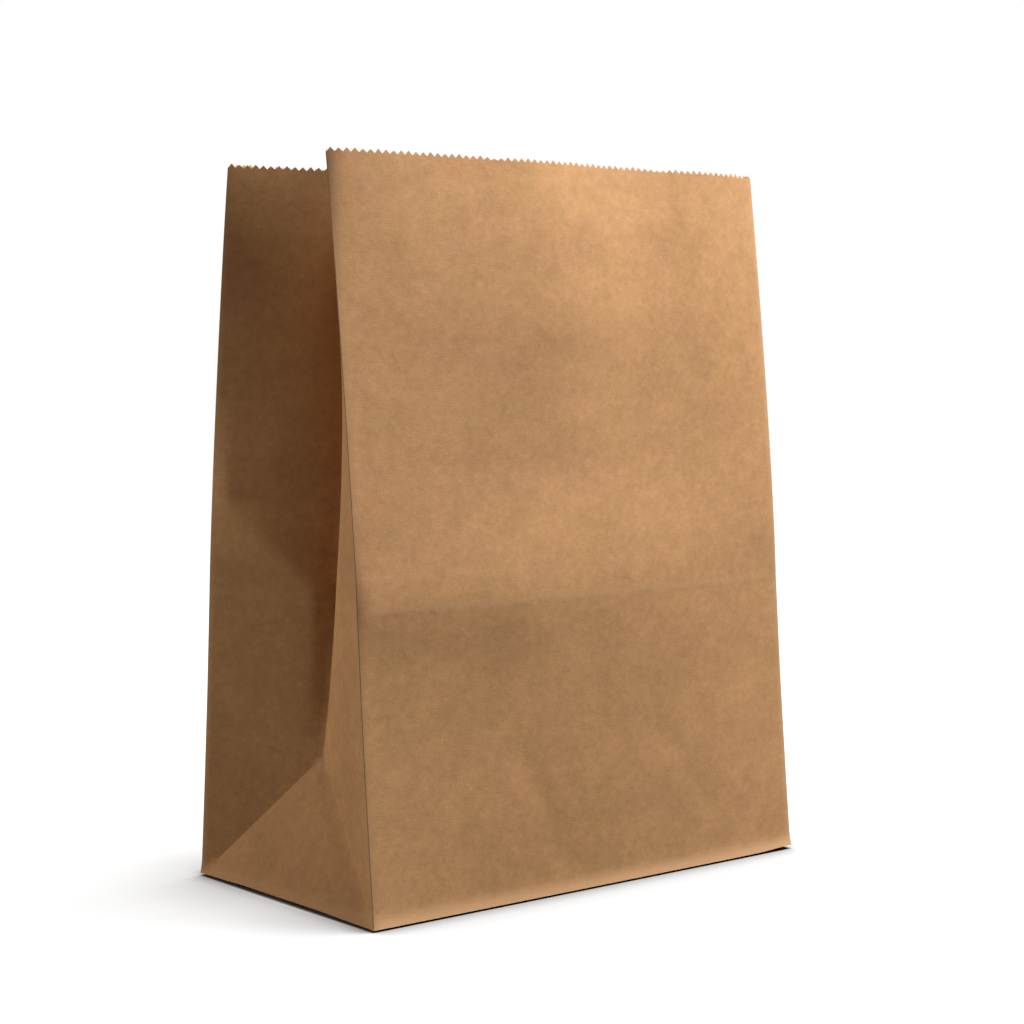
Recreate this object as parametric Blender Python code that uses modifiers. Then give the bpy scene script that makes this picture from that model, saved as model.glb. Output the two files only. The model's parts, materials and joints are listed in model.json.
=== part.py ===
"""A plain brown paper sack with a flat base and pleated sides, standing open.

The sack is one sheet: a tube with a glued back seam, its two sides pleated inwards, its
lower end folded under and glued as a base. The tube is made here as a flat sheet, cut
with saw teeth along its top, and folded by fold(), which gives the place in space of
each point of the paper. u runs round the tube from the front left edge, over the front,
the right pleat, the back and the left pleat. v runs up the paper from the base.

Metres, +Z up. The origin is under the middle of the sack, on the surface it stands on.
"""

import math

import bmesh
import bpy
from mathutils import Vector

# The sack as it is sold flat
WIDTH = 0.330
DEPTH = 0.178
HEIGHT = 0.435
PAPER = 0.00017

# Cut edges and glued laps
TOOTH_PITCH = 0.00495
TOOTH_HEIGHT = 0.0023
SEAM_LAP = 0.024
SEAM_FROM_EDGE = 0.072
BASE_LAP = 0.024

# How far it stands open
LOWER_LEAN_LEFT = math.radians(2.3)
LOWER_LEAN_RIGHT = math.radians(3.9)
MOUTH_DEPTH_LEFT = 0.118
MOUTH_DEPTH_RIGHT = 0.104
OPENING_CURVE = 1.3

# How the base and the mouth are pushed out of square at the left side
BASE_SKEW = 0.0037
MOUTH_SKEW = 0.0038

# How far the foot of the walls spreads, up to a height
FOOT_FLARE = 0.0022
FLARE_HEIGHT = 0.120
FLARE_CURVE = 1.3

# How far the middle of each panel stands out past its edges, at heights up the paper
FRONT_SWELL = ((0.0, 0.0), (0.060, 0.0034), (0.178, 0.0078), (0.250, 0.0058), (0.340, 0.0096), (0.435, 0.0092))
BACK_SWELL = ((0.0, 0.0), (0.178, 0.0060), (0.260, 0.0056), (0.350, 0.0080), (0.435, 0.0080))

# Waves of the front's mouth, of 2, 3 and more half lengths, that fade down the panel
MOUTH_WAVES = (0.0008, 0.0012, -0.0018, 0.0013)
MOUTH_WAVE_CURVE = 1.6

# Widest cell of the folded sheet
CELL = 0.028

# How glued layers join, as shares of the paper: how far each is pressed into the next,
# how far into its layer of the base a wall stops, how deep the seam's lap goes, and how far
# the rims of the lowest base layer and of each one above it lie inside the walls
LAYER_PRESS = 0.3
WALL_STOP = 0.7
LAP_DEPTH = 1.5
RIM_INSET = 0.3
RIM_INSET_STEP = 0.15

# How far a hidden edge of the sheet stops short of the edge that covers it
HIDDEN_SETBACK = 0.0010

KRAFT_BROWN = (0.52, 0.28, 0.13, 1.0)
KRAFT_ROUGHNESS = 0.8
SHARP_FOLD = math.radians(20)

LEFT, RIGHT = -1, 1
FRONT, BACK = -1, 1
OUTER_FLAP, INNER_FLAP, CORNER_FOLD, TUCK = range(4)
PLEAT = DEPTH / 2
LOWER_LEAN = {LEFT: LOWER_LEAN_LEFT, RIGHT: LOWER_LEAN_RIGHT}
MOUTH_DEPTH = {LEFT: MOUTH_DEPTH_LEFT, RIGHT: MOUTH_DEPTH_RIGHT}
SWELL = {FRONT: FRONT_SWELL, BACK: BACK_SWELL}
RIGHT_PLEAT_START = WIDTH
BACK_START = WIDTH + DEPTH
LEFT_PLEAT_START = 2 * WIDTH + DEPTH
ROUND_THE_TUBE = 2 * (WIDTH + DEPTH)
VALLEY = HEIGHT - TOOTH_HEIGHT
FLAP = PLEAT + BASE_LAP / 2
LAYER = PAPER * (1 - LAYER_PRESS)
SQUARE_TO_ORIGIN = max(BASE_SKEW, MOUTH_SKEW) / 2


def opening(side, v):
    """Distance between the front and back edges of one side at height v."""
    foot_depth = DEPTH - 2 * FOOT_FLARE
    lean = 2 * math.tan(LOWER_LEAN[side])
    if v <= DEPTH:
        return foot_depth - lean * v
    crease_depth = foot_depth - lean * DEPTH
    rise = (v - DEPTH) / (HEIGHT - DEPTH)
    return crease_depth - (crease_depth - MOUTH_DEPTH[side]) * rise**OPENING_CURVE


def foot_flare(v):
    return FOOT_FLARE * max(0.0, 1 - v / FLARE_HEIGHT) ** FLARE_CURVE


def edge(side, face, v):
    """A point of one of the four upright folds between a panel and a pleat."""
    x = side * WIDTH / 2 + SQUARE_TO_ORIGIN
    if side == LEFT:
        skew = BASE_SKEW - (BASE_SKEW + MOUTH_SKEW) * v / HEIGHT
        x -= face * skew
    return Vector((x, face * (opening(side, v) / 2 + foot_flare(v)), v))


def apex_height(side):
    """Height of the top of the base triangle, which tips inwards with the pleat."""
    half_opening = opening(side, PLEAT) / 2
    return (half_opening**2 + PLEAT**2) / (2 * PLEAT)


def centre_fold(side, v):
    """A point of a pleat's inner fold, from the top of its base triangle upwards."""
    front = edge(side, FRONT, v)
    back = edge(side, BACK, v)
    across = back - front
    drop = PLEAT - apex_height(side)
    inset = math.sqrt(PLEAT**2 - drop**2 - (across.length / 2) ** 2)
    inwards = Vector((across.y, -across.x, 0)).normalized() * -side
    return (front + back) / 2 + inwards * inset - Vector((0, 0, drop))


def base_line(side, face, along):
    """A point of a pleat's lower fold, from its corner to its middle."""
    corner = edge(side, face, 0)
    middle = (corner + edge(side, -face, 0)) / 2
    return corner.lerp(middle, along / PLEAT)


def pleat(side, face, along, v):
    """A point of half a pleat, along it from the upright fold at one face."""
    if v >= PLEAT:
        return edge(side, face, v).lerp(centre_fold(side, v), along / PLEAT)
    inwards = (centre_fold(side, PLEAT) - edge(side, face, PLEAT)) / PLEAT
    if v >= along:
        return edge(side, face, v) + inwards * along
    diagonal = edge(side, face, along) + inwards * along
    return base_line(side, face, along).lerp(diagonal, v / along)


def swell(face, v):
    """How far the middle of a panel stands out at height v."""
    points = SWELL[face]
    for (low, low_out), (high, high_out) in zip(points, points[1:]):
        if v <= high:
            return low_out + (high_out - low_out) * (v - low) / (high - low)
    return points[-1][1]


def bulge(face, across, v):
    """How far a panel stands out past the plane of its two edges."""
    out = swell(face, v) * math.sin(math.pi * across)
    if face == FRONT and v > DEPTH:
        waves = enumerate(MOUTH_WAVES, start=2)
        at_mouth = sum(size * math.sin(halves * math.pi * across) for halves, size in waves)
        out += at_mouth * ((v - DEPTH) / (HEIGHT - DEPTH)) ** MOUTH_WAVE_CURVE
    return out


def panel(face, along, v):
    """A point of the front or back panel, along it from its left edge."""
    across = along / WIDTH
    point = edge(LEFT, face, v).lerp(edge(RIGHT, face, v), across)
    return point + Vector((0, face * bulge(face, across, v), 0))


def fold(u, v):
    """Where a point of the flat sheet lies once the sack is folded and opened."""
    if u <= RIGHT_PLEAT_START:
        return panel(FRONT, u, v)
    if u <= BACK_START:
        along = u - RIGHT_PLEAT_START
        face = FRONT if along <= PLEAT else BACK
        return pleat(RIGHT, face, min(along, DEPTH - along), v)
    if u <= LEFT_PLEAT_START:
        return panel(BACK, LEFT_PLEAT_START - u, v)
    along = u - LEFT_PLEAT_START
    face = BACK if along <= PLEAT else FRONT
    return pleat(LEFT, face, min(along, DEPTH - along), v)


def stations(start, end):
    """Even steps from start to end, no wider than a cell, without the end."""
    count = math.ceil((end - start) / CELL)
    return [start + (end - start) * i / count for i in range(count)]


def pleat_steps():
    """Steps along half a pleat, which are also the rows of its base triangle."""
    return stations(0.0, PLEAT) + [PLEAT]


def rows_of_sheet():
    return pleat_steps()[:-1] + stations(PLEAT, DEPTH) + stations(DEPTH, VALLEY) + [VALLEY]


def columns_of_pleat(start):
    steps = pleat_steps()
    steps_back = [DEPTH - step for step in reversed(steps[1:-1])]
    return [start + step for step in steps + steps_back]


def columns_of_sheet():
    return (
        stations(0.0, WIDTH)
        + columns_of_pleat(RIGHT_PLEAT_START)
        + stations(BACK_START, LEFT_PLEAT_START)
        + columns_of_pleat(LEFT_PLEAT_START)
        + [ROUND_THE_TUBE]
    )


def flat_sheet(columns, rows):
    """A grid of paper with its x at the columns and its y at the rows."""
    sheet = bmesh.new()
    bmesh.ops.create_grid(sheet, x_segments=len(columns) - 1, y_segments=len(rows) - 1, size=1)
    for vert in sheet.verts:
        column = round((vert.co.x + 1) / 2 * (len(columns) - 1))
        row = round((vert.co.y + 1) / 2 * (len(rows) - 1))
        vert.co = (columns[column], rows[row], 0)
    return sheet


def tooth_count(length):
    return max(1, round(length / TOOTH_PITCH))


def cut_teeth(sheet):
    """Turn the top edge of each cell of a flat sheet into a row of saw teeth."""
    top_edges = [e for e in sheet.edges if min(vert.co.y for vert in e.verts) > VALLEY - PAPER]
    for top_edge in top_edges:
        ends = sorted(vert.co.x for vert in top_edge.verts)
        steps = 2 * tooth_count(ends[1] - ends[0])
        split = bmesh.ops.bisect_edges(sheet, edges=[top_edge], cuts=steps - 1)["geom_split"]
        for vert in split:
            if not isinstance(vert, bmesh.types.BMVert):
                continue
            step = round((vert.co.x - ends[0]) / (ends[1] - ends[0]) * steps)
            if step % 2 and 0 < step < steps:
                vert.co.y = HEIGHT


def crease_base_triangles(sheet):
    """Split the square cells on the slanting folds from the corners to each triangle's top."""
    for start in (RIGHT_PLEAT_START, LEFT_PLEAT_START):
        for face in list(sheet.faces):
            on_fold = []
            for vert in face.verts:
                along = min(vert.co.x - start, start + DEPTH - vert.co.x)
                if abs(along - vert.co.y) < PAPER:
                    on_fold.append(vert)
            if len(on_fold) == 2:
                bmesh.ops.connect_verts(sheet, verts=on_fold)


def base_layer(u):
    """The layer of the base that the wall above it turns under into."""
    if u <= RIGHT_PLEAT_START or u >= ROUND_THE_TUBE:
        return INNER_FLAP
    if BACK_START <= u <= LEFT_PLEAT_START:
        return OUTER_FLAP
    return TUCK


def fold_sheet(sheet):
    for vert in sheet.verts:
        u, v = vert.co.x, vert.co.y
        vert.co = fold(u, v)
        if v == 0:
            vert.co.z = layer_bottom(base_layer(u)) + PAPER * WALL_STOP


def mesh_from(shape, name):
    mesh = bpy.data.meshes.new(name)
    shape.to_mesh(mesh)
    shape.free()
    mesh.shade_smooth()
    mesh.set_sharp_from_angle(angle=SHARP_FOLD)
    return mesh


def add_object(name, mesh, collection):
    piece = bpy.data.objects.new(name, mesh)
    collection.objects.link(piece)
    return piece


def add_paper_thickness(piece, thickness):
    """Give an open sheet its thickness, inwards from its outer face."""
    solidify = piece.modifiers.new("paper thickness", "SOLIDIFY")
    solidify.thickness = thickness
    solidify.offset = -1
    solidify.use_even_offset = True


def add_tube(collection):
    """The pleated tube: front, back and both pleats."""
    sheet = flat_sheet(columns_of_sheet(), rows_of_sheet())
    cut_teeth(sheet)
    crease_base_triangles(sheet)
    bmesh.ops.triangulate(sheet, faces=sheet.faces, quad_method="FIXED")
    fold_sheet(sheet)
    bmesh.ops.remove_doubles(sheet, verts=sheet.verts, dist=PAPER / 10)
    tube = add_object("paper_bag", mesh_from(sheet, "paper_bag"), collection)
    add_paper_thickness(tube, PAPER)
    return tube


def add_seam_lap(collection):
    """The strip of the sheet that laps over its other edge at the back."""
    seam_start = LEFT_PLEAT_START - SEAM_FROM_EDGE - SEAM_LAP
    sheet = flat_sheet([seam_start, seam_start + SEAM_LAP], rows_of_sheet())
    cut_teeth(sheet)
    bmesh.ops.triangulate(sheet, faces=sheet.faces, quad_method="FIXED")
    fold_sheet(sheet)
    bmesh.ops.translate(sheet, vec=(0, PAPER, -HIDDEN_SETBACK), verts=sheet.verts)
    for vert in sheet.verts:
        vert.co.z = max(vert.co.z, HIDDEN_SETBACK)
    lap = add_object("seam_lap", mesh_from(sheet, "seam_lap"), collection)
    add_paper_thickness(lap, PAPER * LAP_DEPTH)


def base_point(along, in_from_front, inset):
    """A point of the base, from its front left corner, with its rim inside the walls."""
    x = inset + along * (WIDTH - 2 * inset) / WIDTH
    y = inset + in_from_front * (DEPTH - 2 * inset) / DEPTH
    front = edge(LEFT, FRONT, 0).lerp(edge(RIGHT, FRONT, 0), x / WIDTH)
    back = edge(LEFT, BACK, 0).lerp(edge(RIGHT, BACK, 0), x / WIDTH)
    return front.lerp(back, y / DEPTH)


def layer_bottom(layer):
    return layer * LAYER


def toothed_line(start, end, outwards):
    """A straight cut with saw teeth, in the base's own plane, with both its ends."""
    steps = 2 * tooth_count(math.dist(start, end))
    points = []
    for step in range(steps + 1):
        share = step / steps
        height = TOOTH_HEIGHT if step % 2 else 0.0
        points.append(
            (
                start[0] + (end[0] - start[0]) * share + outwards[0] * height,
                start[1] + (end[1] - start[1]) * share + outwards[1] * height,
            )
        )
    return points


def add_layer(name, outline, layer, collection):
    """One flat layer of paper in the base, from its outline in the base's plane."""
    plate = bmesh.new()
    inset = PAPER * (RIM_INSET + layer * RIM_INSET_STEP)
    verts = [plate.verts.new(base_point(*point, inset)) for point in outline]
    face = plate.faces.new(verts)
    raised = bmesh.ops.extrude_face_region(plate, geom=[face])["geom"]
    top_verts = [item for item in raised if isinstance(item, bmesh.types.BMVert)]
    bmesh.ops.translate(plate, vec=(0, 0, PAPER), verts=top_verts)
    bmesh.ops.translate(plate, vec=(0, 0, layer_bottom(layer)), verts=plate.verts)
    bmesh.ops.recalc_face_normals(plate, faces=plate.faces)
    add_object(name, mesh_from(plate, name), collection)


def turned_round(outline):
    return [(WIDTH - along, DEPTH - in_from_front) for along, in_from_front in outline]


def mirrored(outline):
    return [(WIDTH - along, in_from_front) for along, in_from_front in outline]


def add_base_layers(collection):
    """Two long flaps that lap, over the folded-in ends of the pleats."""
    cut = FLAP - TOOTH_HEIGHT
    free_edge = toothed_line((WIDTH - cut, cut), (cut, cut), (0, 1))
    long_flap = [(0, 0), (WIDTH, 0)] + free_edge
    add_layer("outer_flap", turned_round(long_flap), OUTER_FLAP, collection)
    add_layer("inner_flap", long_flap, INNER_FLAP, collection)
    corner = [
        (HIDDEN_SETBACK, 0),
        (cut - HIDDEN_SETBACK, 0),
        (cut - HIDDEN_SETBACK, cut - 2 * HIDDEN_SETBACK),
    ]
    corners = [corner, mirrored(corner), turned_round(corner), turned_round(mirrored(corner))]
    for number, outline in enumerate(corners, start=1):
        add_layer(f"corner_fold_{number}", outline, CORNER_FOLD, collection)
    tuck = [(0, DEPTH), (0, 0)] + toothed_line((cut, 0), (cut, DEPTH), (1, 0))
    add_layer("left_tuck", tuck, TUCK, collection)
    add_layer("right_tuck", turned_round(tuck), TUCK, collection)


def kraft_paper():
    material = bpy.data.materials.new("kraft paper")
    material.use_nodes = True
    shader = material.node_tree.nodes["Principled BSDF"]
    shader.inputs["Base Color"].default_value = KRAFT_BROWN
    shader.inputs["Roughness"].default_value = KRAFT_ROUGHNESS
    shader.inputs["Metallic"].default_value = 0.0
    material.diffuse_color = KRAFT_BROWN
    return material


def clear_scene():
    for old in list(bpy.data.objects):
        bpy.data.objects.remove(old, do_unlink=True)


def add_collection(name):
    collection = bpy.data.collections.new(name)
    bpy.context.scene.collection.children.link(collection)
    return collection


def main():
    clear_scene()
    bag_collection = add_collection("paper bag")
    layer_collection = add_collection("glued layers")
    tube = add_tube(bag_collection)
    add_seam_lap(layer_collection)
    add_base_layers(layer_collection)
    for layer in layer_collection.objects:
        layer.hide_render = True
        layer.display_type = "WIRE"
        glued = tube.modifiers.new(layer.name, "BOOLEAN")
        glued.operation = "UNION"
        glued.use_self = True
        glued.object = layer
    tube.data.materials.append(kraft_paper())


main()
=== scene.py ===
"""The look of a plain brown kraft paper sack, standing open on a white floor.

The sack is one sheet. It is made flat, with its saw-cut top edge, and folded by place(),
which gives the place in space of each point of the paper. u runs round the tube from the
front left edge, over the front, the right pleat, the back and the left pleat, and v runs up
the paper from the base. The sheet's two ends lap at the glued seam in the back.

Metres, +Z up. The origin is under the middle of the sack, on the floor.
"""

import json
import math
import random

import bmesh
import bpy
from mathutils import Matrix, Vector

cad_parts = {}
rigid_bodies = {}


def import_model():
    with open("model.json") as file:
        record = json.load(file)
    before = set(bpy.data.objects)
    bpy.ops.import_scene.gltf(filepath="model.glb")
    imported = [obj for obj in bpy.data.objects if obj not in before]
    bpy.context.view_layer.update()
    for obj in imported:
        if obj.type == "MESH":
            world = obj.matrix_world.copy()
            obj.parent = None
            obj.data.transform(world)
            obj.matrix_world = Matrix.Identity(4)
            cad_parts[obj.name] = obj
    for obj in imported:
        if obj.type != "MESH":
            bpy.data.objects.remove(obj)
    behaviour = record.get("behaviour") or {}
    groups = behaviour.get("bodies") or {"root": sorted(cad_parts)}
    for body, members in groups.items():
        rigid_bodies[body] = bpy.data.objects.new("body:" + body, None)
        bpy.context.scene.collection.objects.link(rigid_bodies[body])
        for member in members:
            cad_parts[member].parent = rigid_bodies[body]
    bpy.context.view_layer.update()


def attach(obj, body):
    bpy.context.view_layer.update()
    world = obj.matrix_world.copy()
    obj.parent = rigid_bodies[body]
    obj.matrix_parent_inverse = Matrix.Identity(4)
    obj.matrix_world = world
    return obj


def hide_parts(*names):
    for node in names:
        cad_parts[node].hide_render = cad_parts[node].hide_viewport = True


# The sack as it is sold flat
WIDTH = 0.330
DEPTH = 0.178
HEIGHT = 0.435
PAPER = 0.00017
PLEAT = DEPTH / 2

# Glued laps, and how many thicknesses the outer end of the sheet lies out at the seam
SEAM_LAP = 0.024
SEAM_FROM_EDGE = 0.072
SEAM_STANDOFF = 1.15
BASE_LAP = 0.024

# Saw teeth, a little uneven, and worn low in two places at the front
TOOTH_PITCH = 0.00495
TOOTH_HEIGHT = 0.0023
TOOTH_UNEVENNESS = 0.12
TOOTH_SHUFFLE = 913.0
WORN_TEETH = (0.112, 0.243)
WORN_TEETH_REACH = 0.007
WORN_TEETH_SHARE = 0.55

# How far it stands open
LOWER_LEAN_LEFT = math.radians(2.3)
LOWER_LEAN_RIGHT = math.radians(3.6)
MOUTH_DEPTH_LEFT = 0.118
MOUTH_DEPTH_RIGHT = 0.104
OPENING_CURVE = 1.3

# How the base and the mouth are pushed out of square at the left side
BASE_SKEW = 0.0037
MOUTH_SKEW = 0.0038

# How far the right side stands outwards, at heights up the paper
RIGHT_DRIFT = ((0.0, 0.0014), (HEIGHT, -0.0018))

# The foot, which spreads a little, and its rim, which curls out and up off the floor
FLARE_HEIGHT = 0.120
FOOT_FLARE = 0.0022
FLARE_CURVE = 1.3
CURL_HEIGHT = 0.011
FOOT_CURL = 0.0007
RIM_LIFT = 0.0013
RIM_WIDTH = 0.006

# Where the rim stands higher off the floor: place round the tube, height and reach
RIM_ARCHES = ((0.925, 0.0016, 0.060), (0.330, 0.0012, 0.020), (0.410, 0.0008, 0.050))

# How high the layers of the base lie
OUTER_FLAP_HEIGHT = 0.0001
INNER_FLAP_HEIGHT = 0.0004
TUCK_HEIGHT = 0.0008

# How far the middle of each panel stands out past its edges, at heights up the paper
FRONT_SWELL = (
    (0.0, 0.0), (0.060, 0.0034), (DEPTH, 0.0078), (0.250, 0.0048),
    (0.300, 0.0062), (0.345, 0.0088), (0.400, 0.0098), (HEIGHT, 0.0093),
)
BACK_SWELL = ((0.0, 0.0), (DEPTH, 0.0060), (0.260, 0.0056), (0.350, 0.0080), (HEIGHT, 0.0080))
SWELL_SOFTNESS = 0.010

# How far the halves of the pleats bow out of their planes, at heights up the paper
PLEAT_BOW = ((0.100, 0.0), (0.200, 0.0006), (0.260, 0.0020), (0.345, 0.0024), (HEIGHT, 0.0012))

# How far each half of a pleat stands out beside its inner fold, which was pressed flat
INNER_CUSP = ((PLEAT, 0.0), (0.120, 0.0022), (HEIGHT, 0.0030))
CUSP_REACH = 0.011

# The slanting crest under the pushed-in part of each back half: its heights at the upright and
# the inner fold, how far it stands out, at what heights that fades, how near to the folds its
# top comes, as shares of the half, and how blunt it is near them
CREST_AT_EDGE = 0.241
CREST_AT_INNER_FOLD = 0.181
CREST_HEIGHT = 0.0060
CREST_FADE = ((PLEAT, 0.0), (CREST_AT_INNER_FOLD, 1.0), (CREST_AT_EDGE, 1.0), (0.300, 0.0))
CREST_SHARES = (0.12, 0.88)
CREST_BLUNTNESS = 0.7

# How the pleats' back halves lean back under the mouth: depth of the zone, how far the
# middle of each half goes, and how far the left one's upright fold goes with it
MOUTH_LEAN_ZONE = 0.064
MOUTH_LEAN = 0.0026
LEFT_EDGE_LEAN = Vector((0.0030, 0.0046, 0.0))

# Waves of the mouth, of 2, 3 and more half lengths, that fade down the panel
FRONT_MOUTH_WAVES = (0.0018, 0.0012, -0.0018, 0.0013)
BACK_MOUTH_WAVES = (-0.0009, 0.0007, 0.0010)
MOUTH_WAVE_CURVE = 1.6

# Creases across the sheet where it was folded flat: height of the ridge and its half width
HALF_CREASE = (0.00030, 0.0012)
FULL_CREASE = (0.00012, 0.0030)

# Faint random creases: how many, how high, and their least and most reach and half width
SEED = 11
MOUTH_STREAKS = 34
MOUTH_STREAK_HEIGHT = 0.00016
MOUTH_STREAK_REACH = (0.02, 0.07)
MOUTH_STREAK_WIDTH = (0.004, 0.009)
MOUTH_STREAK_SLANT = 0.15
LOW_STREAKS = 22
LOW_STREAK_HEIGHT = 0.00012
LOW_STREAK_START = (0.02, 0.13)
LOW_STREAK_REACH = (0.02, 0.06)
LOW_STREAK_WIDTH = (0.004, 0.008)
CRUMPLES = 60
CRUMPLE_HEIGHT = 0.00012
CRUMPLE_REACH = (0.01, 0.05)
CRUMPLE_WIDTH = (0.005, 0.012)
CRUMPLE_MARGIN = 0.02

# How near to a fold the creases fade out
CREASE_FADE = 0.006

# Radius of the paper at its folds, and how near to a fold a point of the sheet takes it
FOLD_RADIUS = 0.0007
FOLD_REACH = 0.00071
FOLD_SAMPLES = (-1.0, -0.5, 0.0, 0.5, 1.0)

# Widest step between rows of the mesh, above the base triangles and near the mouth, and where
# the rows of the curled foot lie, as shares of its height
ROW_STEP = 0.0046
MOUTH_ROW_STEP = 0.0030
MOUTH_ZONE = 0.030
FOOT_ROWS = (0.1, 0.22, 0.34, 0.7)

# Where the paper is painted lighter, partly rubbed paper and partly painted highlight: half width
# along folds, half width and strength along the full crease, and height up the foot
FOLD_WEAR_AND_HIGHLIGHT_WIDTH = 0.0011
CREASE_WEAR_AND_HIGHLIGHT_WIDTH = 0.0016
CREASE_WEAR_AND_HIGHLIGHT = 0.5
FOOT_WEAR_AND_HIGHLIGHT_HEIGHT = 0.0075

# Kraft paper
PINKER_BROWN = (0.604, 0.321, 0.148, 1.0)
YELLOWER_BROWN = (0.595, 0.325, 0.142, 1.0)
# Lighter brown along the folds, the full crease and the foot: partly rubbed paper, partly painted
# highlight
RUBBED_AND_LIT_BROWN = (0.680, 0.410, 0.220, 1.0)
RUBBED_AND_LIT_SHARE = 0.60
KRAFT_ROUGHNESS = 0.78
KRAFT_SPECULAR = 0.25
HUE_SCALE = 30.0
HUE_DETAIL = 4.0
HUE_STOPS = ((0.4, 0.0), (0.6, 1.0))

# Its cloudy marks, large to small: noise scale, detail and roughness, darkest and lightest shade
CLOUDS = (22.0, 4.0, 0.5, 0.93, 1.06)
BLOTCHES = (75.0, 2.0, 0.5, 0.945, 1.05)
CLUMPS = (190.0, 3.0, 0.6, 0.915, 1.075)

# Its fibres: noise scale round and up the sheet, darkest and lightest shade
FIBRES_UP = (1500.0, 260.0, 0.94, 1.05)
FIBRES_ACROSS = (240.0, 1400.0, 0.95, 1.05)
FIBRE_DETAIL = 2.0
FIBRE_BUMP = 0.22
FIBRE_BUMP_HEIGHT = 0.0002

# Noise values between which those shades run from the darkest to the lightest
SHADE_FROM = 0.3
SHADE_TO = 0.7

# Its few dark specks
SPECK_SCALE = (900.0, 500.0, 1.0)
SPECK_DETAIL = 1.0
SPECK_STOPS = ((0.22, 0.80), (0.30, 1.0))

# Lamps, aimed at the middle of the sack, and the light of the world
AIM = Vector((0.0, 0.0, 0.2))
KEY_DIRECTION = Vector((0.300, -0.206, 0.931))
KEY_DISTANCE = 2.2
KEY_SIZE = 1.05
KEY_POWER = 145.0
KEY_COLOUR = (1.0, 1.0, 1.0)
FILL_DIRECTION = Vector((-0.695, 0.719, 0.15))
FILL_DISTANCE = 2.0
FILL_SIZE = 0.8
FILL_POWER = 17.4
FILL_COLOUR = (1.0, 0.93, 0.80)
AMBIENT = 0.055
AMBIENT_COLOUR = (1.0, 0.60, 0.28, 1.0)
WHITE = (1.0, 1.0, 1.0, 1.0)

# The floor: how much it lights the sack near by and far off, how much of the lamps and how much
# of its own glow the camera sees there, and from where to where far off begins
FLOOR_SIZE = 12.0
FLOOR_BOUNCE = 0.085
FLOOR_BOUNCE_FAR = 0.02
FLOOR_SHADE = 0.150
FLOOR_GLOW = 0.89
FLOOR_GLOW_FAR = 1.0
FLOOR_NEAR = 0.35
FLOOR_FAR = 1.10

# Reach of the dark gap under the rim and of the soft shadow, and how open the floor is where
# the gap is fully dark and where its dark ends
GAP_REACH = 0.018
SHADOW_REACH = 0.080
GAP_DARK = 0.25
GAP_OPEN = 0.95

# The camera
CAMERA_AZIMUTH = math.radians(38.02)
CAMERA_PITCH = math.radians(4.25)
CAMERA_ROLL = math.radians(-0.21)
CAMERA_PLACE = (-0.8265, -1.0686, 0.3225)
CAMERA_LENS = 76.05
CAMERA_SENSOR = 36.0
CAMERA_CLIP_START = 0.01

LEFT, RIGHT = -1, 1
FRONT, BACK = -1, 1
LOWER_LEAN = {LEFT: LOWER_LEAN_LEFT, RIGHT: LOWER_LEAN_RIGHT}
MOUTH_DEPTH = {LEFT: MOUTH_DEPTH_LEFT, RIGHT: MOUTH_DEPTH_RIGHT}
SWELL = {FRONT: FRONT_SWELL, BACK: BACK_SWELL}
MOUTH_WAVES = {FRONT: FRONT_MOUTH_WAVES, BACK: BACK_MOUTH_WAVES}
RIGHT_PLEAT_START = WIDTH
BACK_START = WIDTH + DEPTH
LEFT_PLEAT_START = 2 * WIDTH + DEPTH
ROUND_THE_TUBE = 2 * (WIDTH + DEPTH)
VALLEY = HEIGHT - TOOTH_HEIGHT
FLAP = PLEAT + BASE_LAP / 2
SQUARE_TO_ORIGIN = max(BASE_SKEW, MOUTH_SKEW) / 2
UPRIGHT_FOLDS = (0.0, RIGHT_PLEAT_START, BACK_START, LEFT_PLEAT_START, ROUND_THE_TUBE)
INNER_FOLDS = (RIGHT_PLEAT_START + PLEAT, LEFT_PLEAT_START + PLEAT)


# The plain folded shape


def on_line(points, v):
    """Height at v of a line through (place, height) points."""
    for (low, low_height), (high, high_height) in zip(points, points[1:]):
        if v <= high:
            share = max(0.0, (v - low) / (high - low))
            return low_height + (high_height - low_height) * share
    return points[-1][1]


def opening(side, v):
    """Distance between the front and back edges of one side at height v."""
    foot_depth = DEPTH - 2 * FOOT_FLARE
    lean = 2 * math.tan(LOWER_LEAN[side])
    if v <= DEPTH:
        return foot_depth - lean * v
    crease_depth = foot_depth - lean * DEPTH
    rise = (v - DEPTH) / (HEIGHT - DEPTH)
    return crease_depth - (crease_depth - MOUTH_DEPTH[side]) * rise**OPENING_CURVE


def under_mouth(v):
    """From 0 to 1 over the zone in which the pleats' back halves lean back."""
    return max(0.0, 1 - (VALLEY - v) / MOUTH_LEAN_ZONE)


def foot_flare(v):
    return FOOT_FLARE * max(0.0, 1 - v / FLARE_HEIGHT) ** FLARE_CURVE


def edge(side, face, v):
    """A point of one of the four upright folds between a panel and a pleat."""
    x = side * WIDTH / 2 + SQUARE_TO_ORIGIN
    if side == LEFT:
        skew = BASE_SKEW - (BASE_SKEW + MOUTH_SKEW) * v / HEIGHT
        x -= face * skew
    else:
        x += on_line(RIGHT_DRIFT, v)
    point = Vector((x, face * (opening(side, v) / 2 + foot_flare(v)), v))
    if side == LEFT and face == BACK:
        point += LEFT_EDGE_LEAN * under_mouth(v) ** 2
    return point


def apex_height(side):
    """Height of the top of the base triangle, which tips inwards with the pleat."""
    half_opening = opening(side, PLEAT) / 2
    return (half_opening**2 + PLEAT**2) / (2 * PLEAT)


def centre_fold(side, v):
    """A point of a pleat's inner fold, from the top of its base triangle upwards."""
    front = edge(side, FRONT, v)
    back = edge(side, BACK, v)
    across = back - front
    drop = PLEAT - apex_height(side)
    inset = math.sqrt(PLEAT**2 - drop**2 - (across.length / 2) ** 2)
    inwards = Vector((across.y, -across.x, 0)).normalized() * -side
    return (front + back) / 2 + inwards * inset - Vector((0, 0, drop))


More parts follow.
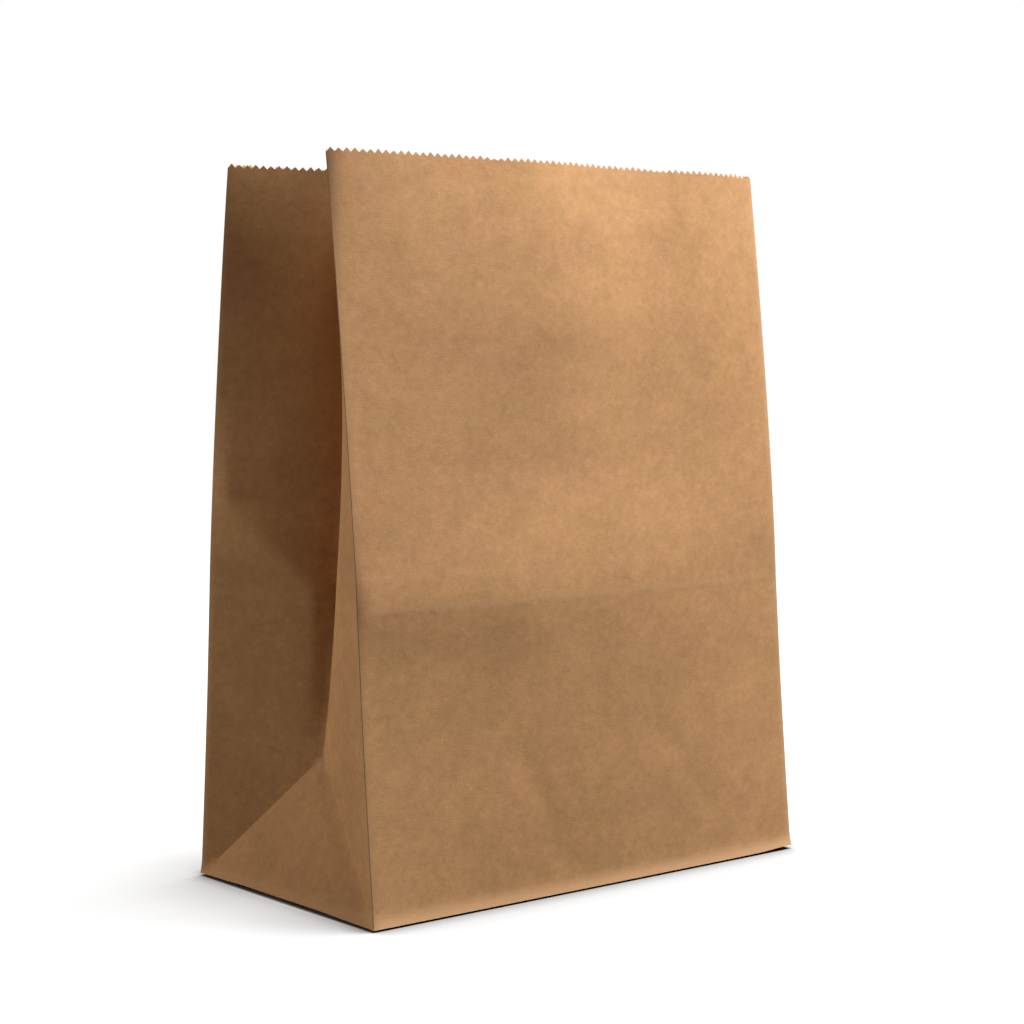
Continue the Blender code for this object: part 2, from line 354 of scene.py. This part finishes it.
def base_line(side, face, along):
    """A point of a pleat's lower fold, from its corner to its middle."""
    corner = edge(side, face, 0)
    middle = (corner + edge(side, -face, 0)) / 2
    return corner.lerp(middle, along / PLEAT)


def pleat(side, face, along, v):
    """A point of half a pleat, along it from the upright fold at one face."""
    if v >= PLEAT:
        return edge(side, face, v).lerp(centre_fold(side, v), along / PLEAT)
    inwards = (centre_fold(side, PLEAT) - edge(side, face, PLEAT)) / PLEAT
    if v >= along:
        return edge(side, face, v) + inwards * along
    diagonal = edge(side, face, along) + inwards * along
    return base_line(side, face, along).lerp(diagonal, v / along)


def swell(face, across, v):
    """How far a panel stands out past the plane of its two edges."""
    samples = [on_line(SWELL[face], v + SWELL_SOFTNESS * step) for step in FOLD_SAMPLES]
    out = sum(samples) / len(samples) * math.sin(math.pi * across)
    if v > DEPTH:
        at_mouth = sum(
            size * math.sin(halves * math.pi * across)
            for halves, size in enumerate(MOUTH_WAVES[face], start=2)
        )
        out += at_mouth * ((v - DEPTH) / (HEIGHT - DEPTH)) ** MOUTH_WAVE_CURVE
    return out


def panel(face, along, v):
    """A point of the front or back panel, along it from its left edge."""
    across = along / WIDTH
    point = edge(LEFT, face, v).lerp(edge(RIGHT, face, v), across)
    return point + Vector((0, face * swell(face, across, v), 0))


def fold(u, v):
    """Where a point of the flat sheet lies once the sack is folded and opened."""
    u %= ROUND_THE_TUBE
    if u <= RIGHT_PLEAT_START:
        return panel(FRONT, u, v)
    if u <= BACK_START:
        along = u - RIGHT_PLEAT_START
        face = FRONT if along <= PLEAT else BACK
        return pleat(RIGHT, face, min(along, DEPTH - along), v)
    if u <= LEFT_PLEAT_START:
        return panel(BACK, LEFT_PLEAT_START - u, v)
    along = u - LEFT_PLEAT_START
    face = BACK if along <= PLEAT else FRONT
    return pleat(LEFT, face, min(along, DEPTH - along), v)


def from_fold(u, folds):
    return min(abs(u % ROUND_THE_TUBE - place_u) for place_u in folds)


def rounded_fold(u, v):
    """fold(), with the paper's own radius at its lengthwise folds."""
    folds = UPRIGHT_FOLDS + INNER_FOLDS if v > PLEAT else UPRIGHT_FOLDS
    if from_fold(u, folds) > FOLD_REACH:
        return fold(u, v)
    points = [fold(u + FOLD_RADIUS * step, v) for step in FOLD_SAMPLES]
    return sum(points, Vector()) / len(points)


def outwards(u, v):
    """Direction out of the sack at a point of the sheet, away from its folds."""
    step = TOOTH_PITCH / 4
    along = fold(u + step, v) - fold(u - step, v)
    up = fold(u, min(v + step, HEIGHT)) - fold(u, max(v - step, 0.0))
    return along.cross(up).normalized()


# Soft creases in the sheet: two ends on the paper, height out of the sack and half width


def bell(distance, width):
    return math.exp(-((distance / width) ** 2))


def crease_height(crease, u, v):
    (start_u, start_v), (end_u, end_v), height, width = crease
    line_u, line_v = end_u - start_u, end_v - start_v
    length = math.hypot(line_u, line_v)
    along = ((u - start_u) * line_u + (v - start_v) * line_v) / length
    across = ((u - start_u) * line_v - (v - start_v) * line_u) / length
    if abs(across) > 3 * width or not -2 * width < along < length + 2 * width:
        return 0.0
    past = max(0.0, -along, along - length)
    taper = min(1.0, max(0.0, 1 - past / (2 * width)))
    return height * bell(across, width) * taper**2


def left_pleat_creases():
    """Creases of the left pleat's base triangle."""
    inner_fold = LEFT_PLEAT_START + PLEAT
    front_edge = LEFT_PLEAT_START + DEPTH
    return [
        # A short dent in the middle of the triangle
        ((inner_fold - 0.012, 0.030), (inner_fold - 0.004, 0.052), -0.0003, 0.005),
        # The rounded edge of the front slanting fold, and the hollow beside it
        ((front_edge - 0.080, 0.085), (front_edge - 0.006, 0.011), 0.0009, 0.005),
        ((front_edge - 0.090, 0.085), (front_edge - 0.016, 0.011), -0.0009, 0.005),
    ]


def front_creases():
    """Broad ones: over the full crease, at the mouth's left end, and two dents low down."""
    return [
        ((0.0, 0.180), (0.110, 0.180), 0.0010, 0.024),
        ((0.0, 0.445), (0.020, 0.445), 0.0018, 0.060),
        ((0.108, 0.090), (0.140, 0.020), -0.0004, 0.007),
        ((0.222, 0.088), (0.262, 0.036), -0.0004, 0.008),
    ]


def random_creases():
    """Faint creases from handling: down from the mouth, over the base and all over."""
    chance = random.Random(SEED)
    creases = []
    for _ in range(MOUTH_STREAKS):
        u = chance.uniform(0, ROUND_THE_TUBE)
        reach = chance.uniform(*MOUTH_STREAK_REACH)
        height = chance.uniform(-1, 1) * MOUTH_STREAK_HEIGHT
        slant = chance.uniform(-MOUTH_STREAK_SLANT, MOUTH_STREAK_SLANT) * reach
        width = chance.uniform(*MOUTH_STREAK_WIDTH)
        creases.append(((u, HEIGHT), (u + slant, HEIGHT - reach), height, width))
    for _ in range(LOW_STREAKS):
        u = chance.uniform(0, ROUND_THE_TUBE)
        v = chance.uniform(*LOW_STREAK_START)
        height = chance.uniform(-1, 1) * LOW_STREAK_HEIGHT
        reach = chance.uniform(*LOW_STREAK_REACH)
        slant = chance.uniform(-1, 1) * reach
        width = chance.uniform(*LOW_STREAK_WIDTH)
        creases.append(((u, v), (u + slant, v + reach), height, width))
    for _ in range(CRUMPLES):
        u = chance.uniform(0, ROUND_THE_TUBE)
        v = chance.uniform(CRUMPLE_MARGIN, HEIGHT - CRUMPLE_MARGIN)
        angle = chance.uniform(0, math.pi)
        reach = chance.uniform(*CRUMPLE_REACH)
        height = chance.uniform(-1, 1) * CRUMPLE_HEIGHT
        width = chance.uniform(*CRUMPLE_WIDTH)
        end = (u + reach * math.cos(angle), v + reach * math.sin(angle))
        creases.append(((u, v), end, height, width))
    return creases


CREASES = left_pleat_creases() + front_creases() + random_creases()


def ridge(distance, height, width):
    return height * bell(distance, width)


def crest(along, v):
    """Height of a back half's slanting crest, along from its inner fold, from 0 to 1."""
    share = (v - CREST_AT_INNER_FOLD) / (CREST_AT_EDGE - CREST_AT_INNER_FOLD)
    at = min(max(share, CREST_SHARES[0]), CREST_SHARES[1])
    side = along / at if along < at else (1 - along) / (1 - at)
    return CREST_HEIGHT * on_line(CREST_FADE, v) * (4 * at * (1 - at)) ** CREST_BLUNTNESS * side


def pleat_relief(along, v):
    """Height of a pleat's bow and of the cusp by its inner fold, along from 0 to 1."""
    cusp = 1 - math.exp(-along * PLEAT / CUSP_REACH) - along
    return on_line(PLEAT_BOW, v) * math.sin(math.pi * along) + on_line(INNER_CUSP, v) * cusp


def relief(u, v):
    """Height of the sheet's own creases at a point, out of the sack."""
    u %= ROUND_THE_TUBE
    height = sum(crease_height(crease, u, v) for crease in CREASES)
    height += ridge(v - DEPTH, *FULL_CREASE)
    if not (u < RIGHT_PLEAT_START or BACK_START < u < LEFT_PLEAT_START):
        along = from_fold(u, INNER_FOLDS) / PLEAT
        height += ridge(v - PLEAT, *HALF_CREASE) + pleat_relief(along, v)
        if BACK_START - PLEAT < u < LEFT_PLEAT_START + PLEAT:
            height += crest(along, v)
            height -= MOUTH_LEAN * under_mouth(v) ** 2 * (1 - (2 * along - 1) ** 4)
    height *= min(1.0, from_fold(u, UPRIGHT_FOLDS + INNER_FOLDS) / CREASE_FADE)
    return height + FOOT_CURL * max(0.0, 1 - v / CURL_HEIGHT) ** 2


def rim_lift(u):
    """How far the curled rim of the foot stands off the floor."""
    u %= ROUND_THE_TUBE
    return RIM_LIFT + sum(ridge(u - at, height, reach) for at, height, reach in RIM_ARCHES)


def place(u, v, layer=0):
    """Where a point of the sheet lies, on the layer that many thicknesses out."""
    point = rounded_fold(u, v)
    point += outwards(u, v) * (relief(u, v) + layer * PAPER)
    point.z += rim_lift(u) * max(0.0, 1 - v / CURL_HEIGHT)
    return point


# The flat sheet, as a mesh


def even_steps(start, end, step):
    """Even steps from start to end, no wider than step, without the end."""
    count = math.ceil((end - start) / step - 1e-6)
    return [start + (end - start) * i / count for i in range(count)]


def tooth_places(start, end):
    """The valleys between the saw teeth of one panel or half pleat, without the end."""
    count = round((end - start) / TOOTH_PITCH)
    return [start + (end - start) * i / count for i in range(count)]


def tooth_columns():
    columns = []
    corners = sorted(UPRIGHT_FOLDS + INNER_FOLDS)
    for start, end in zip(corners, corners[1:]):
        columns += tooth_places(start, end)
    return columns


def fold_columns():
    """Columns close beside each lengthwise fold, which give it its radius."""
    folds = sorted(UPRIGHT_FOLDS[:-1] + INNER_FOLDS)
    offsets = [FOLD_RADIUS * step for step in FOLD_SAMPLES if step]
    return [(fold_u + offset) % ROUND_THE_TUBE for fold_u in folds for offset in offsets]


def sheet_columns():
    """Columns of the whole sheet, from its one end at the seam round to its other."""
    teeth = tooth_columns()
    seam = min(teeth, key=lambda u: abs(u - (LEFT_PLEAT_START - SEAM_FROM_EDGE - SEAM_LAP)))
    lap_end = min(teeth, key=lambda u: abs(u - (seam + SEAM_LAP)))
    everything = teeth + fold_columns()
    first_part = [u for u in everything if u >= seam]
    second_part = [u + ROUND_THE_TUBE for u in everything if u <= lap_end]
    return sorted(first_part + second_part), seam + ROUND_THE_TUBE


def sheet_rows():
    """Rows of the sheet. Below the pleats' half crease they are as far apart as the teeth."""
    foot = [CURL_HEIGHT * share for share in FOOT_ROWS]
    creases = [
        crease + offset
        for crease, width in ((PLEAT, HALF_CREASE[1]), (DEPTH, FULL_CREASE[1]))
        for offset in (-2 * width, -width, width, 2 * width)
    ]
    middle = even_steps(PLEAT, DEPTH, ROW_STEP) + even_steps(DEPTH, VALLEY - MOUTH_ZONE, ROW_STEP)
    top = even_steps(VALLEY - MOUTH_ZONE, VALLEY, MOUTH_ROW_STEP) + [VALLEY]
    return sorted(tooth_places(0.0, PLEAT) + foot + creases + middle + top)


def tooth_height(u):
    worn = WORN_TEETH_SHARE * bell(from_fold(u, WORN_TEETH), WORN_TEETH_REACH)
    return TOOTH_HEIGHT * (1 - worn) * (1 + TOOTH_UNEVENNESS * math.sin(u * TOOTH_SHUFFLE))


def flat_sheet(columns, rows):
    """A grid of paper with its x at the columns and its y at the rows."""
    sheet = bmesh.new()
    bmesh.ops.create_grid(sheet, x_segments=len(columns) - 1, y_segments=len(rows) - 1, size=1)
    for vert in sheet.verts:
        column = round((vert.co.x + 1) / 2 * (len(columns) - 1))
        row = round((vert.co.y + 1) / 2 * (len(rows) - 1))
        vert.co = (columns[column], rows[row], 0)
    return sheet


def cut_teeth(sheet):
    """Cut saw teeth in the top edge. Their valleys are the columns that aren't beside a fold."""
    for top_edge in [e for e in sheet.edges if min(v.co.y for v in e.verts) > VALLEY - PAPER]:
        ends = sorted(vert.co.x for vert in top_edge.verts)
        if ends[1] - ends[0] < TOOTH_PITCH / 2:
            continue
        new = bmesh.ops.bisect_edges(sheet, edges=[top_edge], cuts=1)["geom_split"]
        for item in new:
            if isinstance(item, bmesh.types.BMVert) and ends[0] < item.co.x < ends[1]:
                item.co.y = VALLEY + tooth_height(item.co.x)


def crease_base_triangles(sheet):
    """Split the square cells on the slanting folds, and keep those folds sharp."""
    for start in (RIGHT_PLEAT_START, LEFT_PLEAT_START):
        for face in list(sheet.faces):
            on_fold = []
            for vert in face.verts:
                u = vert.co.x % ROUND_THE_TUBE
                along = min(u - start, start + DEPTH - u)
                if abs(along - vert.co.y) < PAPER and vert.co.y <= PLEAT:
                    on_fold.append(vert)
            if len(on_fold) == 2:
                for new_edge in bmesh.ops.connect_verts(sheet, verts=on_fold)["edges"]:
                    new_edge.smooth = False


def add_uvs(shape):
    """The paper's own coordinates, in metres, for its fibres."""
    layer = shape.loops.layers.uv.verify()
    for face in shape.faces:
        for loop in face.loops:
            loop[layer].uv = (loop.vert.co.x, loop.vert.co.y)


def wear_and_highlight_at(u, v):
    """How much lighter the paper is painted, from 0 to 1, partly rubbed and partly painted
    highlight: most along its upright folds and its foot.
    """
    folds = bell(from_fold(u, UPRIGHT_FOLDS), FOLD_WEAR_AND_HIGHLIGHT_WIDTH)
    crease = CREASE_WEAR_AND_HIGHLIGHT * bell(v - DEPTH, CREASE_WEAR_AND_HIGHLIGHT_WIDTH)
    foot = math.exp(-((v / FOOT_WEAR_AND_HIGHLIGHT_HEIGHT) ** 4))
    return max(folds, crease, foot)


def paper_piece(shape, name, material):
    """A piece of the scene from a shape of paper, with its thickness and its sharp rim."""
    for rim in [e for e in shape.edges if e.is_boundary]:
        rim.smooth = False
    mesh = bpy.data.meshes.new(name)
    shape.to_mesh(mesh)
    shape.free()
    mesh.materials.append(material)
    piece = bpy.data.objects.new(name, mesh)
    bpy.context.scene.collection.objects.link(piece)
    thickness = piece.modifiers.new("paper thickness", "SOLIDIFY")
    thickness.thickness = PAPER
    thickness.offset = -1
    return piece


def add_sheet(material):
    """The tube of the sack, as one sheet from its one end at the seam to its other."""
    columns, seam = sheet_columns()
    sheet = flat_sheet(columns, sheet_rows())
    cut_teeth(sheet)
    crease_base_triangles(sheet)
    add_uvs(sheet)
    # How much rubbing and painted highlight lighten the paper at each point
    wear_and_highlight = sheet.verts.layers.float.new("wear_and_highlight")
    for face in sheet.faces:
        face.smooth = True
    for vert in sheet.verts:
        u, v = vert.co.x, vert.co.y
        past_seam = min(1.0, max(0.0, (u - seam) / (TOOTH_PITCH / 2) + 1))
        vert[wear_and_highlight] = wear_and_highlight_at(u, v)
        vert.co = place(u, v, past_seam * SEAM_STANDOFF)
    return paper_piece(sheet, "bag_sheet", material)


# The base: two long flaps that lap, over the folded-in ends of the pleats


def base_point(along, in_from_front):
    front = edge(LEFT, FRONT, 0).lerp(edge(RIGHT, FRONT, 0), along / WIDTH)
    back = edge(LEFT, BACK, 0).lerp(edge(RIGHT, BACK, 0), along / WIDTH)
    return front.lerp(back, in_from_front / DEPTH)


def round_the_base(along, in_from_front):
    """The place round the tube of a point on the rim of the base."""
    walls = (
        (in_from_front, along),
        (WIDTH - along, RIGHT_PLEAT_START + in_from_front),
        (DEPTH - in_from_front, LEFT_PLEAT_START - along),
        (along, ROUND_THE_TUBE - in_from_front),
    )
    return min(walls)[1]


def toothed_line(start, end, outwards_x, outwards_y):
    """A straight cut with saw teeth, in the base's own plane, with both its ends."""
    steps = 2 * round(math.dist(start, end) / TOOTH_PITCH)
    points = []
    for step in range(steps + 1):
        share = step / steps
        height = TOOTH_HEIGHT if step % 2 else 0.0
        x = start[0] + (end[0] - start[0]) * share + outwards_x * height
        y = start[1] + (end[1] - start[1]) * share + outwards_y * height
        points.append((x, y))
    return points


def add_flap(name, outline, height, material):
    """One flat layer of the base, its rim turned up where it meets the walls."""
    flap = bmesh.new()
    face = flap.faces.new([flap.verts.new((x, y, 0)) for x, y in outline])
    bmesh.ops.inset_region(flap, faces=[face], thickness=RIM_WIDTH, use_even_offset=True)
    add_uvs(flap)
    for vert in flap.verts:
        x, y = vert.co.x, vert.co.y
        from_wall = min(x, WIDTH - x, y, DEPTH - y)
        vert.co = base_point(x, y)
        vert.co.z = height
        if from_wall < PAPER:
            vert.co.z += rim_lift(round_the_base(x, y))
    if face.normal.z > 0:
        bmesh.ops.reverse_faces(flap, faces=flap.faces)
    return paper_piece(flap, name, material)


def turned_round(outline):
    return [(WIDTH - along, DEPTH - in_from_front) for along, in_from_front in outline]


def add_base(material):
    cut = FLAP - TOOTH_HEIGHT
    long_flap = [(0, 0), (WIDTH, 0)] + toothed_line((WIDTH - cut, cut), (cut, cut), 0, 1)
    tuck = [(0, DEPTH), (0, 0)] + toothed_line((cut, 0), (cut, DEPTH), 1, 0)
    layers = [
        ("outer_flap", turned_round(long_flap), OUTER_FLAP_HEIGHT),
        ("inner_flap", long_flap, INNER_FLAP_HEIGHT),
        ("left_tuck", tuck, TUCK_HEIGHT),
        ("right_tuck", turned_round(tuck), TUCK_HEIGHT),
    ]
    return [add_flap(name, outline, height, material) for name, outline, height in layers]


# Kraft paper


class Nodes:
    """Short calls for the nodes of one material."""

    def __init__(self, tree):
        self.tree = tree

    def add(self, kind, **values):
        node = self.tree.nodes.new(kind)
        for name, value in values.items():
            setattr(node, name, value)
        return node

    def link(self, output, target):
        self.tree.links.new(output, target)

    def noise(self, vector, scale, detail, roughness=0.5):
        node = self.add("ShaderNodeTexNoise")
        self.link(vector, node.inputs["Vector"])
        node.inputs["Scale"].default_value = scale
        node.inputs["Detail"].default_value = detail
        node.inputs["Roughness"].default_value = roughness
        return node.outputs["Fac"]

    def stretched_noise(self, vector, scales, detail):
        node = self.add("ShaderNodeMapping")
        self.link(vector, node.inputs["Vector"])
        node.inputs["Scale"].default_value = scales
        return self.noise(node.outputs["Vector"], 1.0, detail)

    def ramp(self, factor, stops):
        node = self.add("ShaderNodeValToRGB")
        self.link(factor, node.inputs["Fac"])
        for element, (position, value) in zip(node.color_ramp.elements, stops):
            element.position = position
            element.color = (value, value, value, 1)
        return node.outputs["Color"]

    def shade(self, factor, darkest, lightest):
        return self.ramp(factor, ((SHADE_FROM, darkest), (SHADE_TO, lightest)))

    def mix(self, blend, factor, first, second):
        node = self.add("ShaderNodeMix", data_type="RGBA", blend_type=blend)
        if isinstance(factor, float):
            node.inputs["Factor"].default_value = factor
        else:
            self.link(factor, node.inputs["Factor"])
        for name, value in (("A", first), ("B", second)):
            socket = next(s for s in node.inputs if s.name == name and s.type == "RGBA")
            if isinstance(value, tuple):
                socket.default_value = value
            else:
                self.link(value, socket)
        return next(s for s in node.outputs if s.type == "RGBA")

    def spread(self, value, from_low, from_high, low, high):
        """A value's range spread over another one, and held at its ends."""
        node = self.add("ShaderNodeMapRange")
        self.link(value, node.inputs["Value"])
        node.inputs["From Min"].default_value = from_low
        node.inputs["From Max"].default_value = from_high
        node.inputs["To Min"].default_value = low
        node.inputs["To Max"].default_value = high
        return node.outputs["Result"]

    def math(self, operation, first, second):
        """Two outputs, or an output and a number, added or multiplied."""
        node = self.add("ShaderNodeMath", operation=operation)
        self.link(first, node.inputs[0])
        if isinstance(second, float):
            node.inputs[1].default_value = second
        else:
            self.link(second, node.inputs[1])
        return node.outputs[0]

    def openness(self, reach):
        """How little stands over a point within reach, from 0 to 1."""
        node = self.add("ShaderNodeAmbientOcclusion")
        node.inputs["Distance"].default_value = reach
        return node.outputs["AO"]


def kraft_paper():
    """Uncoated kraft: cloudy fibre clumps, short fibres up the sheet and a few dark specks."""
    material = bpy.data.materials.new("kraft_paper")
    material.use_nodes = True
    shader = material.node_tree.nodes["Principled BSDF"]
    shader.inputs["Roughness"].default_value = KRAFT_ROUGHNESS
    shader.inputs["Specular IOR Level"].default_value = KRAFT_SPECULAR
    nodes = Nodes(material.node_tree)
    paper = nodes.add("ShaderNodeUVMap").outputs["UV"]
    hues = nodes.ramp(nodes.noise(paper, HUE_SCALE, HUE_DETAIL), HUE_STOPS)
    shades = []
    for scale, detail, roughness, darkest, lightest in (CLOUDS, BLOTCHES, CLUMPS):
        shades.append(nodes.shade(nodes.noise(paper, scale, detail, roughness), darkest, lightest))
    fibres = []
    for scale_round, scale_up, darkest, lightest in (FIBRES_UP, FIBRES_ACROSS):
        fibres.append(nodes.stretched_noise(paper, (scale_round, scale_up, 1.0), FIBRE_DETAIL))
        shades.append(nodes.shade(fibres[-1], darkest, lightest))
    shades.append(nodes.ramp(nodes.stretched_noise(paper, SPECK_SCALE, SPECK_DETAIL), SPECK_STOPS))
    colour = nodes.mix("MIX", hues, PINKER_BROWN, YELLOWER_BROWN)
    for shade in shades:
        colour = nodes.mix("MULTIPLY", 1.0, colour, shade)
    # Lighter along the folds, the full crease and the foot: partly rubbed paper, partly painted
    # highlight
    wear_and_highlight = nodes.add("ShaderNodeAttribute", attribute_name="wear_and_highlight").outputs["Fac"]
    colour = nodes.mix("MIX", nodes.math("MULTIPLY", wear_and_highlight, RUBBED_AND_LIT_SHARE), colour, RUBBED_AND_LIT_BROWN)
    nodes.link(colour, shader.inputs["Base Color"])
    bump = nodes.add("ShaderNodeBump")
    bump.inputs["Strength"].default_value = FIBRE_BUMP
    bump.inputs["Distance"].default_value = FIBRE_BUMP_HEIGHT
    nodes.link(nodes.math("ADD", *fibres), bump.inputs["Height"])
    nodes.link(bump.outputs["Normal"], shader.inputs["Normal"])
    return material


# Floor, light and camera


def add_area_light(name, direction, distance, size, power, colour):
    light = bpy.data.lights.new(name, "AREA")
    light.shape = "SQUARE"
    light.size = size
    light.energy = power
    light.color = colour
    lamp = bpy.data.objects.new(name, light)
    lamp.location = AIM + direction.normalized() * distance
    lamp.rotation_mode = "QUATERNION"
    lamp.rotation_quaternion = direction.to_track_quat("Z", "Y")
    bpy.context.scene.collection.objects.link(lamp)


def white_to_camera(nodes, seen, lit):
    """Mix two shaders: one where the camera looks straight at it, one for all else."""
    path = nodes.add("ShaderNodeLightPath")
    mix = nodes.add("ShaderNodeMixShader")
    nodes.link(path.outputs["Is Camera Ray"], mix.inputs["Fac"])
    nodes.link(lit, mix.inputs[1])
    nodes.link(seen, mix.inputs[2])
    return mix.outputs["Shader"]


def set_world():
    """A dim, warm world that the camera sees as white."""
    world = bpy.data.worlds.new("studio")
    bpy.context.scene.world = world
    world.use_nodes = True
    nodes = Nodes(world.node_tree)
    lit = world.node_tree.nodes["Background"]
    lit.inputs["Color"].default_value = AMBIENT_COLOUR
    lit.inputs["Strength"].default_value = AMBIENT
    seen = nodes.add("ShaderNodeBackground")
    seen.inputs["Color"].default_value = WHITE
    seen.inputs["Strength"].default_value = 1.0
    surface = white_to_camera(nodes, seen.outputs["Background"], lit.outputs["Background"])
    nodes.link(surface, world.node_tree.nodes["World Output"].inputs["Surface"])


def floor_paint():
    """White where the floor is open, darker where the sack stands over it or near by."""
    material = bpy.data.materials.new("floor")
    material.use_nodes = True
    nodes = Nodes(material.node_tree)
    from_bag = nodes.add("ShaderNodeVectorMath", operation="LENGTH")
    nodes.link(nodes.add("ShaderNodeNewGeometry").outputs["Position"], from_bag.inputs[0])
    far = nodes.spread(from_bag.outputs["Value"], FLOOR_NEAR, FLOOR_FAR, 0.0, 1.0)
    bounce = nodes.add("ShaderNodeBsdfDiffuse")
    bounced = nodes.spread(far, 0.0, 1.0, FLOOR_BOUNCE, FLOOR_BOUNCE_FAR)
    nodes.link(bounced, bounce.inputs["Color"])
    shade = nodes.add("ShaderNodeBsdfDiffuse")
    shade.inputs["Color"].default_value = (FLOOR_SHADE, FLOOR_SHADE, FLOOR_SHADE, 1)
    gap = nodes.spread(nodes.openness(GAP_REACH), GAP_DARK, GAP_OPEN, 0.0, 1.0)
    open_above = nodes.math("MULTIPLY", gap, nodes.openness(SHADOW_REACH))
    full_glow = nodes.spread(far, 0.0, 1.0, FLOOR_GLOW, FLOOR_GLOW_FAR)
    glow = nodes.add("ShaderNodeEmission")
    nodes.link(nodes.math("MULTIPLY", full_glow, open_above), glow.inputs["Strength"])
    seen = nodes.add("ShaderNodeAddShader")
    nodes.link(shade.outputs["BSDF"], seen.inputs[0])
    nodes.link(glow.outputs["Emission"], seen.inputs[1])
    surface = white_to_camera(nodes, seen.outputs["Shader"], bounce.outputs["BSDF"])
    nodes.link(surface, material.node_tree.nodes["Material Output"].inputs["Surface"])
    return material


def add_floor():
    """A white floor with the sack's soft shadow on it."""
    mesh = bpy.data.meshes.new("floor")
    shape = bmesh.new()
    bmesh.ops.create_grid(shape, x_segments=1, y_segments=1, size=FLOOR_SIZE / 2)
    shape.to_mesh(mesh)
    shape.free()
    mesh.materials.append(floor_paint())
    floor = bpy.data.objects.new("floor", mesh)
    bpy.context.scene.collection.objects.link(floor)


def add_camera():
    data = bpy.data.cameras.new("camera")
    data.lens = CAMERA_LENS
    data.sensor_width = CAMERA_SENSOR
    data.clip_start = CAMERA_CLIP_START
    camera = bpy.data.objects.new("camera", data)
    turned = (
        Matrix.Rotation(-CAMERA_AZIMUTH, 4, "Z")
        @ Matrix.Rotation(math.pi / 2 - CAMERA_PITCH, 4, "X")
        @ Matrix.Rotation(CAMERA_ROLL, 4, "Z")
    )
    camera.matrix_world = Matrix.Translation(CAMERA_PLACE) @ turned
    bpy.context.scene.collection.objects.link(camera)
    bpy.context.scene.camera = camera


for old in list(bpy.data.objects):
    bpy.data.objects.remove(old, do_unlink=True)
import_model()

kraft = kraft_paper()
sheet = add_sheet(kraft)
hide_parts("paper_bag")
for piece in [sheet] + add_base(kraft):
    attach(piece, "root")

add_floor()
set_world()
add_area_light("key light", KEY_DIRECTION, KEY_DISTANCE, KEY_SIZE, KEY_POWER, KEY_COLOUR)
add_area_light("fill light", FILL_DIRECTION, FILL_DISTANCE, FILL_SIZE, FILL_POWER, FILL_COLOUR)
add_camera()
bpy.context.scene.view_settings.view_transform = "Standard"
